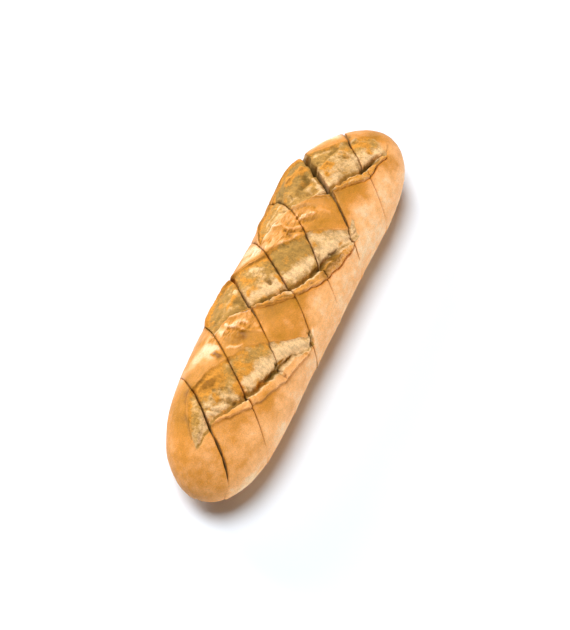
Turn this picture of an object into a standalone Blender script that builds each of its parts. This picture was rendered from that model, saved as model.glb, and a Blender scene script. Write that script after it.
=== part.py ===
"""Garlic butter baguette: one short, plump loaf with three slashes that burst open in the oven and
seven knife slits across it for the butter.

The loaf lies along X and rests on a flat base at z = 0. Its skin is one closed grid. A row of the grid
is a loop around the loaf that leans like the knife slits do, so a slit is two rows for its lips and one
for its bottom. The columns run along the slashes, so an ear's edge and a crust's rim are columns.

A place on the skin is (x, around) or (station, around): x along the loaf, the station where its row
crosses the middle of the top, and the distance around the loaf from there, positive towards +Y.
"""

import math

import bmesh
import bpy
import numpy as np

MM = 0.001

# The loaf, before it is slashed.
LENGTH = 270 * MM
HALF_LENGTH = LENGTH / 2
HEIGHT = 49 * MM
WIDEST_Z = 21 * MM  # the height at which the loaf is widest
BASE_SINK = 5 * MM  # how far the rounded underside would reach below the table
TIP_FULLNESS = 4.2  # how square the ends are in plan
TIP_ROUNDNESS = 1.76
HEIGHT_FALL = 0.9  # how much slower the height than the width falls off towards the ends
SIDE_POWER = 0.92
DOME_POWER = 0.95
# Along the loaf from end to end, evenly spaced: half its width, and how far its middle bows to +Y.
HALF_WIDTHS = np.array([39.0, 36.6, 34.9, 34.9, 34.2, 38.2, 39.6]) * MM
BOWS = np.array([-6.8, -2.5, -0.4, -0.3, -0.8, -0.8, -7.7]) * MM

# The slashes. Each upper line is the crust's rim on the +Y side, each lip line the ear's edge on the
# other side, as (x, around) in mm. Each ear is (x, how wide it is in mm), and each flap is (x, how much
# further the rim stands up there in mm).
SLASHES = (
    {
        "upper": ((-119, 8), (-112, 14), (-104, 19), (-96, 21.5), (-86, 21), (-75, 17.5), (-62, 10),
                  (-50, 0.5), (-40, -11), (-31, -21.5), (-23, -32)),
        "lip": ((-119, 8), (-108, 1), (-98, -4), (-85, -13), (-70, -20.5), (-55, -27.5), (-40, -33.5),
                (-30, -37.5), (-23, -38)),
        "ear": ((-102, 0.5), (-92, 2), (-80, 3), (-60, 3.5), (-45, 3), (-30, 2.5), (-23, 0.5)),
        "flap": ((-119, 0), (-23, 0)),
    },
    {
        "upper": ((-48, 24), (-43, 30), (-34, 35), (-24, 37.5), (-14, 37), (-5, 32), (3, 27.5), (10, 20.5),
                  (18, 13.5), (28, 7), (38, -2.5), (46, -13), (52, -21)),
        "lip": ((-48, 24), (-34, 20.5), (-28, 11.5), (-18, 1), (-8, -11), (3, -19.5), (15, -25),
                (30, -28.5), (42, -30.5), (52, -30)),
        "ear": ((-28, 0.5), (-20, 2), (-11, 3.5), (0, 4), (12, 4), (25, 3.5), (40, 3), (50, 0.5)),
        "flap": ((-46, 0), (-38, 1.3), (-28, 1.9), (-12, 1.8), (0, 0.6), (10, 0)),
    },
    {
        "upper": ((20, 27), (28, 31.5), (38, 35), (50, 38), (62, 41), (74, 42), (84, 38.5), (91, 31),
                  (99, 23), (107, 16.5), (116, 8), (123, 0)),
        "lip": ((20, 27), (34, 23.5), (46, 17.5), (56, 9), (68, -2.5), (80, -10), (92, -15), (105, -18),
                (116, -18), (123, -14)),
        "ear": ((64, 0.5), (72, 1.5), (80, 3), (88, 4), (96, 3), (106, 2), (120, 0.5)),
        "flap": ((34, 0), (40, 1.2), (53, 1.2), (59, 2.3), (70, 2.2), (82, 1.8), (89, 0.3), (95, 0)),
    },
)
RIM_HEIGHT = 0.9 * MM  # how far the crust is lifted along an upper line
RIM_FADE = 5 * MM
FACE_WIDTH = 7 * MM  # the browned slope from the rim down to the crumb
CRUMB_DEPTH = 3.2 * MM
VALLEY_DEPTH = 2.4 * MM  # the fold where the crumb goes in under the ear
VALLEY_WIDTH = 1.9 * MM
EAR_FOOT = 1.6 * MM  # how far the ear's inner slope reaches beyond the ear
EAR_HEIGHT = 1.3 * MM
EAR_DROP = 0.9 * MM  # how much of its height an ear loses at its outer edge
EAR_CREST = 0.8 * MM  # from the ear's outer edge to its crest
EAR_FADE = 3.5 * MM
TIP_FADE = 9 * MM
LUMPS = ((0.6, 9, 7, 0.4), (0.4, 5, 4, 2.1))  # crumb lumps: height, length, width in mm, and phase

# The knife slits: where each crosses the loaf's middle, how wide it gapes on the +Y side, the middle and
# the -Y side, and how high its bottom lies on the +Y side and on the -Y side, all in mm.
SLITS = (
    {"x": -101.0, "gape": (1.0, 2.0, 1.2), "bottom": (24, 30)},
    {"x": -67.0, "gape": (1.2, 0.9, 0.7), "bottom": (20, 16)},
    {"x": -32.5, "gape": (1.4, 1.0, 0.7), "bottom": (20, 16)},
    {"x": 0.5, "gape": (1.0, 1.0, 0.8), "bottom": (20, 15)},
    {"x": 33.5, "gape": (1.2, 0.9, 0.7), "bottom": (19, 17)},
    {"x": 67.5, "gape": (5.0, 2.0, 1.0), "bottom": (20, 30)},
    {"x": 103.0, "gape": (1.2, 1.2, 0.8), "bottom": (21, 24)},
)
SLIT_LEAN = 29.5 * MM  # how far along X a slit runs from the top of the loaf to its widest point
LEAN_FADE = 32 * MM  # over this much of each end the rows turn square to the loaf
SHUT_GAPE = 0.5  # of its gape that a slit keeps where it runs out

# The grid.
ROW_STEP = 3.4 * MM
END_ROWS = (0.5, 1.8, 4.0, 7.0)  # rows near each tip, in mm from it
SLASH_SLOPE = -0.36  # how the columns run on beyond a slash
SLASH_GAP = 9 * MM  # the least room for a slash's columns
FLOOR_COLUMNS = 3
BAND_COLUMNS = 4
UNDER_COLUMNS = 16

CRUST_COLOUR = (0.72, 0.36, 0.11, 1)
CRUST_ROUGHNESS = 0.55


def smooth_step(low, high, value):
    """0 below low, 1 above high, and an S curve between them."""
    share = np.clip((value - low) / (high - low), 0, 1)
    return share * share * (3 - 2 * share)


def curve_through(points, at):
    """The height at `at` of a smooth curve through the points, level beyond its ends."""
    xs, ys = np.array(points, float).T
    slopes = np.gradient(ys, xs)
    inside = np.clip(at, xs[0], xs[-1])
    i = np.clip(np.searchsorted(xs, inside) - 1, 0, len(xs) - 2)
    span = xs[i + 1] - xs[i]
    u = (inside - xs[i]) / span
    start = (1 + 2 * u) * (1 - u) ** 2 * ys[i] + u * (1 - u) ** 2 * span * slopes[i]
    end = u * u * (3 - 2 * u) * ys[i + 1] - u * u * (1 - u) * span * slopes[i + 1]
    return start + end


def even_curve(values, at):
    """The value at `at`, from -1 to 1, of a smooth curve through evenly spaced values."""
    return curve_through(np.stack([np.linspace(-1, 1, len(values)), values], 1), at)


def across_share(angle):
    """How far across its half width the loaf's skin is at an angle from the top."""
    return np.sign(np.sin(angle)) * np.abs(np.sin(angle)) ** SIDE_POWER


def bare_loaf(x, angle):
    """Points of the loaf without its slashes, for places along X and angles around it."""
    along = np.clip(x / HALF_LENGTH, -1, 1)
    plan = (1 - np.abs(along) ** TIP_FULLNESS) ** (1 / TIP_ROUNDNESS)
    y = even_curve(BOWS, along) + even_curve(HALF_WIDTHS, along) * plan * across_share(angle)
    dome = np.abs(np.cos(angle)) ** DOME_POWER * plan ** HEIGHT_FALL
    over = WIDEST_Z + (HEIGHT - WIDEST_Z) * dome
    under = np.maximum(WIDEST_Z - (WIDEST_Z + BASE_SINK) * dome, 0)
    return np.stack([x + 0 * angle, y, np.where(np.cos(angle) >= 0, over, under)], -1)


def ring_table():
    """Angles around the middle of the loaf and the distance around it to each from the top."""
    angles = np.linspace(-math.pi, math.pi, 1441)
    ring = bare_loaf(np.zeros_like(angles), angles)
    run = np.concatenate([[0], np.cumsum(np.linalg.norm(np.diff(ring, axis=0), axis=1))])
    return angles, run - np.interp(0, angles, run)


RING_ANGLES, RING_RUN = ring_table()
GIRTH = RING_RUN[-1] - RING_RUN[0]


def angle_at(around):
    """The angle from the top at a distance around the loaf."""
    turned = (around - RING_RUN[0]) % GIRTH + RING_RUN[0]
    return np.interp(turned, RING_RUN, RING_ANGLES)


def row_lean(station):
    """How far along X a row runs from the top to the loaf's widest point, nothing at the ends."""
    return SLIT_LEAN * np.clip((HALF_LENGTH - np.abs(station)) / LEAN_FADE, 0, 1)


def place_along(station, around):
    """The x of a place on a row."""
    return station + row_lean(station) * across_share(angle_at(around))


def on_rows(points):
    """A line given as (x, around) in mm, as (station, around) in metres."""
    x, around = np.array(points, float).T * MM
    station = x
    for _ in range(30):
        station = x - row_lean(station) * across_share(angle_at(around))
    return np.stack([station, around], 1)


LIPS = [on_rows(slash["lip"]) for slash in SLASHES]
UPPERS = [on_rows(slash["upper"]) for slash in SLASHES]


def squarely(line, station, around_line):
    """How much of a step along a row is a step squarely away from a line."""
    step = 0.5 * MM
    slope = (curve_through(line, station + step) - curve_through(line, station - step)) / (2 * step)
    run = (place_along(station, around_line + step) - place_along(station, around_line - step)) / (2 * step)
    return 1 / np.hypot(1 + run * slope, slope)


def ear_width(n, station):
    """How wide the ear of a slash is on a row."""
    lip = curve_through(LIPS[n], station)
    return curve_through(np.array(SLASHES[n]["ear"]) * MM, place_along(station, lip))


def slash_relief(n, station, around):
    """How far slash number n lifts or sinks the crust."""
    lip = curve_through(LIPS[n], station)
    upper = curve_through(UPPERS[n], station)
    from_lip = (around - lip) * squarely(LIPS[n], station, lip)
    from_upper = (upper - around) * squarely(UPPERS[n], station, upper)
    first, last = LIPS[n][0, 0], LIPS[n][-1, 0]
    open_here = smooth_step(0, TIP_FADE, np.minimum(station - first, last - station))

    flap = curve_through(np.array(SLASHES[n]["flap"]) * MM, place_along(station, upper))
    rim_top = RIM_HEIGHT + flap
    rim = rim_top * np.exp(np.minimum(from_upper, 0) / RIM_FADE)
    edge = (EAR_HEIGHT - EAR_DROP) * np.exp(np.minimum(from_lip, 0) / EAR_FADE)
    outside = np.where(from_upper < 0, rim, edge)

    foot = ear_width(n, station) + EAR_FOOT
    x = place_along(station, around)
    face = smooth_step(0, FACE_WIDTH, from_upper)
    floor = rim_top - (rim_top + CRUMB_DEPTH) * face
    for height, length, width, phase in LUMPS:
        lump = np.sin(x / (length * MM) * 2 + phase) * np.sin(around / (width * MM) * 2 + 2 * phase)
        floor = floor + height * MM * lump * face
    floor = floor - VALLEY_DEPTH * face * np.exp(-(((from_lip - foot) / VALLEY_WIDTH) ** 2))
    climb = 1 - smooth_step(EAR_CREST, foot, from_lip)
    inner = floor + np.maximum(EAR_HEIGHT - floor, 0) * climb
    inner = inner - EAR_DROP * np.clip(1 - from_lip / EAR_CREST, 0, 1)
    opened = (from_upper > 0) & (from_lip > 0)
    return np.where(opened, inner, outside) * open_here


def skin(station, shift, around):
    """Points of the slashed loaf on a row, the whole row shifted along X."""
    angle = angle_at(around)
    x = np.clip(place_along(station, around) + shift, -HALF_LENGTH, HALF_LENGTH)
    relief = sum(slash_relief(n, station, around) for n in range(len(SLASHES)))
    nudge = 0.2 * MM
    ahead = np.clip(x + nudge, -HALF_LENGTH, HALF_LENGTH)
    behind = np.clip(x - nudge, -HALF_LENGTH, HALF_LENGTH)
    lengthways = bare_loaf(ahead, angle) - bare_loaf(behind, angle)
    sideways = bare_loaf(x, angle + 0.01) - bare_loaf(x, angle - 0.01)
    outward = np.cross(lengthways, sideways)
    outward /= np.linalg.norm(outward, axis=-1, keepdims=True)
    points = bare_loaf(x, angle) + outward * relief[..., None]
    points[..., 2] = np.maximum(points[..., 2], 0)
    return points


def carried_on(line, station):
    """A slash's line, carried on beyond its tips in the slashes' usual direction."""
    first, last = line[0, 0], line[-1, 0]
    beyond = np.minimum(station - first, 0) + np.maximum(station - last, 0)
    return curve_through(line, station) + SLASH_SLOPE * beyond


def column_places(station):
    """The distance around the loaf of every column on one row, in order around it."""
    places = []
    ends = []
    for n in range(len(SLASHES)):
        lip = carried_on(LIPS[n], station)
        upper = max(carried_on(UPPERS[n], station), lip + SLASH_GAP)
        gap = upper - lip
        ear = float(ear_width(n, station))
        near_lip = np.array([0, EAR_CREST, ear + 0.1 * MM, ear + EAR_FOOT, ear + 2.2 * EAR_FOOT]) * 0.8
        near_lip[2] = max(near_lip[2], 1.5 * near_lip[1])
        near_lip *= min(1, 0.5 * gap / near_lip[-1])
        near_upper = np.array([1, 0.6, 0.25]) * min(0.8 * FACE_WIDTH, 0.35 * gap)
        between = np.linspace(near_lip[-1], gap - near_upper[0], FLOOR_COLUMNS + 2)[1:-1]
        places.append(lip + np.concatenate([near_lip, between, gap - near_upper]))
        ends.append((lip, upper))
    ends.append((ends[0][0] + GIRTH, None))
    columns = []
    for n in range(len(SLASHES)):
        columns.append(places[n])
        count = UNDER_COLUMNS if n == len(SLASHES) - 1 else BAND_COLUMNS
        columns.append(np.linspace(ends[n][1], ends[n + 1][0], count, endpoint=False))
    return np.concatenate(columns)


def plain_row(station):
    """A row of the loaf's skin."""
    return skin(station, 0, column_places(station))


def slit_rows(slit):
    """A slit's two lips with its bottom between them."""
    station = slit["x"] * MM
    around = column_places(station)
    share = np.sin(angle_at(around))
    left, middle, right = np.array(slit["gape"]) * MM
    gape = middle + np.where(share > 0, left - middle, right - middle) * share ** 2
    left_bottom, right_bottom = np.array(slit["bottom"]) * MM
    bottom_z = (left_bottom + right_bottom) / 2 + (left_bottom - right_bottom) / 2 * share
    floor = skin(station, 0, around)
    depth = np.clip(floor[:, 2] - bottom_z, 0, None)
    gape = gape * (SHUT_GAPE + (1 - SHUT_GAPE) * smooth_step(0, 6 * MM, depth))
    floor[:, 2] -= depth
    return [skin(station, -gape / 2, around), floor, skin(station, gape / 2, around)]


def loaf_rows():
    """Every row of the loaf in order: plain rows, and three for each slit."""
    rows = [plain_row(-HALF_LENGTH + end * MM) for end in END_ROWS]
    edges = [-HALF_LENGTH + END_ROWS[-1] * MM]
    edges += [slit["x"] * MM for slit in SLITS]
    edges.append(HALF_LENGTH - END_ROWS[-1] * MM)
    for n, (low, high) in enumerate(zip(edges[:-1], edges[1:])):
        if n > 0:
            rows += slit_rows(SLITS[n - 1])
        count = round((high - low) / ROW_STEP)
        rows += [plain_row(low + share * (high - low)) for share in np.arange(1, count) / count]
    rows += [plain_row(HALF_LENGTH - end * MM) for end in reversed(END_ROWS)]
    return rows


def loaf_object():
    """The whole loaf as one closed mesh."""
    mesh = bmesh.new()
    loops = [[mesh.verts.new(point) for point in row] for row in loaf_rows()]
    around = len(loops[0])
    for row, following in zip(loops[:-1], loops[1:]):
        for i in range(around):
            j = (i + 1) % around
            mesh.faces.new((row[i], row[j], following[j], following[i]))
    for loop, end in ((loops[0], -1), (loops[-1], 1)):
        tip = mesh.verts.new((end * HALF_LENGTH, float(even_curve(BOWS, end)), WIDEST_Z))
        for i in range(around):
            mesh.faces.new((loop[i], loop[(i + 1) % around], tip))
    bmesh.ops.recalc_face_normals(mesh, faces=mesh.faces)
    bmesh.ops.triangulate(mesh, faces=mesh.faces)
    data = bpy.data.meshes.new("baguette")
    mesh.to_mesh(data)
    mesh.free()
    data.shade_smooth()
    data.set_sharp_from_angle(angle=math.radians(40))
    return bpy.data.objects.new("baguette", data)


def crust_material():
    """Golden baked crust."""
    material = bpy.data.materials.new("crust")
    material.use_nodes = True
    shader = material.node_tree.nodes["Principled BSDF"]
    shader.inputs["Base Color"].default_value = CRUST_COLOUR
    shader.inputs["Roughness"].default_value = CRUST_ROUGHNESS
    shader.inputs["Metallic"].default_value = 0
    return material


def main():
    for old in list(bpy.data.objects):
        bpy.data.objects.remove(old)
    loaf = loaf_object()
    loaf.data.materials.append(crust_material())
    bpy.context.scene.collection.objects.link(loaf)


main()
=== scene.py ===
import math
from types import SimpleNamespace

import bpy
import numpy as np
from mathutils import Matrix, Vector


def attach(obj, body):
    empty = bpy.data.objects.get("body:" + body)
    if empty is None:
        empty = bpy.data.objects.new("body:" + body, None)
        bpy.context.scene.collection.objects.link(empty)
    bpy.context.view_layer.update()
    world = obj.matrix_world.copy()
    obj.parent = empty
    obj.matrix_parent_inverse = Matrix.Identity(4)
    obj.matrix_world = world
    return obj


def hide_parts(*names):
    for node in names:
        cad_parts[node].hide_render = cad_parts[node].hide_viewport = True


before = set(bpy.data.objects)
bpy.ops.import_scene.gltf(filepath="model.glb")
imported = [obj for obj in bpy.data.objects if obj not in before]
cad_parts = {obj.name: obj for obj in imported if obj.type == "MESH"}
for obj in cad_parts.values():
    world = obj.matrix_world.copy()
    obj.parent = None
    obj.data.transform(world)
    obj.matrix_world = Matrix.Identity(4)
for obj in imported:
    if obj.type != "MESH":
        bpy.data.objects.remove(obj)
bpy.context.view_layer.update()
print("frame loaded")

# All shapes are worked out in millimetres and turned into metres when they go into a mesh.
# A place on the loaf is (x, around): x along it, and around = the distance round its skin from the
# middle of the top, positive towards +Y. A row of the grid leans like the knife slits; its station is
# the x where it crosses the middle of the top. Slit n parts segment n from segment n + 1.


# Smooth maths

def smoothStep(low, high, value):
    # 0 below low, 1 above high and 3t^2 - 2t^3 between
    share = np.clip((value - low) / (high - low), 0, 1)
    return share * share * (3 - 2 * share)


def curveThrough(points, at):
    # cubic Hermite curve through (position, value) points, level beyond the ends
    xs, ys = np.array(sorted(map(tuple, points)), float).T
    slopes = np.gradient(ys, xs)
    inside = np.clip(at, xs[0], xs[-1])
    i = np.clip(np.searchsorted(xs, inside) - 1, 0, len(xs) - 2)
    span = xs[i + 1] - xs[i]
    u = (inside - xs[i]) / span
    start = (1 + 2 * u) * (1 - u) ** 2 * ys[i] + u * (1 - u) ** 2 * span * slopes[i]
    return start + u * u * (3 - 2 * u) * ys[i + 1] - u * u * (1 - u) * span * slopes[i + 1]


def evenCurve(values, at):
    # the same curve through values evenly spaced from -1 to 1
    return curveThrough(zip(np.linspace(-1, 1, len(values)), values), at)


def latticeValue(ix, iy, iz, seed):
    # a fixed value from 0 to 1 for each whole-numbered point
    n = ix * 374761393 + iy * 668265263 + iz * 2147483647 + seed * 974634777
    n = (n ^ (n >> 13)) * 1274126177
    n = n ^ (n >> 16)
    return (n & 0xFFFFFF) / 0xFFFFFF


def noise(px, py, pz, seed):
    # smooth noise from -1 to 1: lattice values blended with smooth weights in the cell around each point
    px, py, pz = np.broadcast_arrays(px, py, pz)
    cell = [np.floor(p).astype(np.int64) for p in (px, py, pz)]
    u, v, w = [smoothStep(0, 1, p - c) for p, c in zip((px, py, pz), cell)]
    total = 0
    for dx in (0, 1):
        for dy in (0, 1):
            for dz in (0, 1):
                weight = (u if dx else 1 - u) * (v if dy else 1 - v) * (w if dz else 1 - w)
                total = total + weight * latticeValue(cell[0] + dx, cell[1] + dy, cell[2] + dz, seed)
    return 2 * total - 1


def fractal(x, y, z, size, octaves, seed):
    # noise at size mm plus finer layers, each half the size and half the strength
    total, strength = 0, 1.0
    for k in range(octaves):
        total = total + strength * noise(x / size, y / size, z / size, seed + k)
        size, strength = size / 2.03, strength / 2
    return total


def ragged(layers, run, lane=0, shift=0):
    # noise along a run of places, in layers of (strength, size in mm, seed)
    return sum(strength * noise(run / size, lane, 0, seed + shift) for strength, size, seed in layers)


# The loaf's plain form

loafSizes = {
    "halfLength": 135.0,
    "height": 49.0,
    "widestZ": 21.0,
    "baseSink": 5.0,
    "tipFullness": 4.2,
    "tipRoundness": 1.76,
    "heightFall": 0.9,
    "sidePower": 0.92,
    "domePower": 0.95,
    "halfWidths": (39.0, 36.6, 34.9, 34.9, 34.2, 38.2, 39.6),
    "bows": (-6.8, -2.5, -0.4, -0.3, -0.8, -0.8, -7.7),
    "slitLean": 29.5,
    "leanFade": 32.0,
}


def acrossShare(angle):
    # how far across the loaf an angle lies, from -1 to 1: its sine to a power, with its sign kept
    return np.sign(np.sin(angle)) * np.abs(np.sin(angle)) ** loafSizes["sidePower"]


def bareLoaf(x, angle):
    # an upright oval at each x: y = bow + half width times sine, z = widest height + dome times cosine
    along = np.clip(x / loafSizes["halfLength"], -1, 1)
    plan = (1 - np.abs(along) ** loafSizes["tipFullness"]) ** (1 / loafSizes["tipRoundness"])
    y = evenCurve(loafSizes["bows"], along)
    y = y + evenCurve(loafSizes["halfWidths"], along) * plan * acrossShare(angle)
    dome = np.abs(np.cos(angle)) ** loafSizes["domePower"] * plan ** loafSizes["heightFall"]
    widest = loafSizes["widestZ"]
    over = widest + (loafSizes["height"] - widest) * dome
    under = np.maximum(widest - (widest + loafSizes["baseSink"]) * dome, 0)
    return np.stack([x + 0 * angle, y, np.where(np.cos(angle) >= 0, over, under)], -1)


ringAngles = np.linspace(-math.pi, math.pi, 1441)
ringSteps = np.linalg.norm(np.diff(bareLoaf(0 * ringAngles, ringAngles), axis=0), axis=1)
ringRun = np.concatenate([[0], np.cumsum(ringSteps)])
ringRun = ringRun - np.interp(0, ringAngles, ringRun)
girth = ringRun[-1] - ringRun[0]


def angleAt(around):
    # the oval's angle at a distance round the skin, as at the loaf's middle
    return np.interp((around - ringRun[0]) % girth + ringRun[0], ringRun, ringAngles)


# The knife slits and the rows that lean like them

# bottom: heights at the +Y and -Y sides; gape and wander: how wide the slit is, and how far it strays
# from its straight line, at the places in slitShape["gapeAt"] and slitShape["wanderAt"]
slits = (
    {"x": -101.0, "bottom": (24, 30), "gape": (0.7, 1.5, 2.1, 2.1, 1.4, 0.0, 0.0),
     "wander": (0, -1, -3.2, -1.5, 2.9)},
    {"x": -67.0, "bottom": (20, 16), "gape": (1.0, 0.9, 0.9, 1.0, 0.4, 0.05, 0.0),
     "wander": (1.8, 1.6, 0.6, 0.9, 0.4)},
    {"x": -32.5, "bottom": (20, 16), "gape": (1.8, 1.9, 1.0, 0.6, 0.15, 0.0, 0.0),
     "wander": (3, 1, 1.8, 0.8, 1.5)},
    {"x": 0.5, "bottom": (20, 15), "gape": (0.9, 1.2, 1.3, 0.6, 0.7, 0.4, 0.1),
     "wander": (-1.5, 0, 1.2, 3.2, 1.5)},
    {"x": 33.5, "bottom": (19, 17), "gape": (1.6, 0.9, 1.0, 1.2, 0.4, 0.0, 0.0),
     "wander": (-1.5, 1.2, 1.3, 0.6, 1.5)},
    {"x": 67.5, "bottom": (18, 30), "gape": (5.0, 4.6, 3.3, 2.0, 1.0, 0.1, 0.0),
     "wander": (0.5, 0.9, 2.3, 1.6, 1)},
    {"x": 103.0, "bottom": (21, 24), "gape": (1.7, 1.3, 1.1, 0.7, 0.4, 0.1, 0.0),
     "wander": (-7, -2.5, 0.3, 2, 1.2)},
)

slitShape = {
    "gapeAt": (36, 16, 0, -14, -27, -42, -60),
    "wanderAt": (35, 18, 3, -12, -35),
    "spread": 9.0,  # over this much of the skin beside it a slit's opening is taken up
    "wall": ((1, 0), (0.96, 0.03), (0.9, 0.08), (0.8, 0.17), (0.66, 0.32), (0.5, 0.52), (0.3, 0.76)),
    "lipDrop": 0.45,
    "lipReach": 1.0,
    "crumbDrop": 1.0,
    "crumbReach": 1.8,
    "slitBake": 0.5,  # browner lips, and painted shade darkening the depths
    "slitBakeReach": 0.8,
    "slitPaintedShade": 0.8,
    "ragged": ((0.3, 3.4, 61), (0.15, 1.3, 62)),
    "leastGape": 0.06,
    # low on the -Y side, between these places, each segment stands out this far beyond its neighbour
    "step": 0.5,
    "stepFade": 3.0,
    "stepFrom": (-44, -52),
    "stepTo": (-75, -66),
}


def rowLean(station):
    # how far a row leans along X from the middle out to a side, fading to nothing at the tips
    fade = np.clip((loafSizes["halfLength"] - np.abs(station)) / loafSizes["leanFade"], 0, 1)
    return loafSizes["slitLean"] * fade


def rowWander(station, around):
    # each slit's own wander, blended from slit to slit and fading out at the tips and underneath
    around = np.where(around > girth / 2, around - girth, around)
    stops = [-loafSizes["halfLength"]] + [slit["x"] for slit in slits] + [loafSizes["halfLength"]]
    total = 0
    for n, slit in enumerate(slits):
        weight = np.interp(station, stops, np.eye(len(stops))[n + 1])
        total = total + weight * curveThrough(zip(slitShape["wanderAt"], slit["wander"]), around)
    return total * smoothStep(75, 50, np.abs(around))


def placeAlong(station, around):
    # the x of a place on a row: its station, the lean times how far across the loaf it is, the wander
    lean = rowLean(station) * acrossShare(angleAt(around))
    return station + lean + rowWander(station, around)


def onRows(points):
    # (x, around) points as (station, around)
    x, around = np.array(points, float).T
    station = x
    for _ in range(40):
        station = station + 0.8 * (x - placeAlong(station, around))
    return np.stack([station, around], 1)


def slitPull(at):
    # how far each place is shifted along X by the slits beside it, each slit's bottom, and how far away
    # the nearest slit's lip is
    v, share = slitShape, np.sin(at.angle)
    shift, bottom = 0 * at.around, 0 * at.around
    nearest = np.full(at.around.shape, 99.0)
    for n, slit in enumerate(slits):
        away = at.station - slit["x"]
        gape = curveThrough(zip(v["gapeAt"], slit["gape"]), at.signed)
        gape = gape * (1 + ragged(v["ragged"], at.around, n))
        top = bareLoaf(placeAlong(slit["x"] + 0 * at.around, at.around), at.angle)[..., 2]
        bottomZ = np.mean(slit["bottom"]) + (slit["bottom"][0] - slit["bottom"][1]) / 2 * share
        shut = smoothStep(0, 6, top - bottomZ)
        gape = np.maximum(gape * (0.35 + 0.65 * shut), v["leastGape"])
        bottomZ = bottomZ + (top - bottomZ) * (1 - smoothStep(0.08, 0.45, gape))
        taken = np.sign(away) * np.clip(1 - np.abs(away) / v["spread"], 0, 1) ** 2
        taken = np.where(np.abs(away) < 0.01, 0, taken)
        own = at.slit == n
        shift = shift + gape / 2 * np.where(own, at.opening, taken)
        bottom = np.where(own, bottomZ, bottom)
        rounded = np.maximum(shut * np.clip(gape / 0.8 - 0.08, 0, 1), 0.02)
        nearest = np.minimum(nearest, np.abs(away) * 0.77 / rounded ** 0.5 + 1.5 * (1 - rounded))
    return shift, bottom, nearest


def slitEdges(at, nearest):
    # the skin sinks towards a slit's lips, and low on the -Y side each segment stands out a little
    # beyond its neighbour
    v = slitShape
    rise = -v["lipDrop"] * np.exp(-nearest / v["lipReach"])
    rise = rise - at.openCrumb * v["crumbDrop"] * np.exp(-nearest / v["crumbReach"])
    lowEdge = np.array([-200] + [slit["x"] for slit in slits])[at.segment]
    side = smoothStep(*v["stepFrom"], at.signed) * smoothStep(*v["stepTo"], at.signed)
    return rise + v["step"] * side * np.exp(-(at.station - lowEdge) / v["stepFade"])


def cutSlits(at, points, bottom, marks):
    # each slit's rows fall towards its bottom, with rough crumb walls painted darker downwards, as shade
    fall = np.clip(points[..., 2] - bottom, 0, None) * at.deep
    points[..., 2] -= fall
    rough = smoothStep(0.1, 0.3, at.deep) * smoothStep(1, 0.8, at.deep) * (fall > 0.3)
    points[..., 0] += rough * grain("slitWall", points[..., 1], points[..., 2], at.slit * 9)
    points[..., 2] = np.maximum(points[..., 2], 0)
    inSlit = np.where(at.slit >= 0, fall, 0)
    marks["crumb"] = np.maximum(marks["crumb"], smoothStep(0.3, 2, inSlit))
    # painted shade, deeper down in the slit
    marks["deep"] = np.maximum(marks["deep"], slitShape["slitPaintedShade"] * smoothStep(0.8, 9, inSlit))
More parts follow.
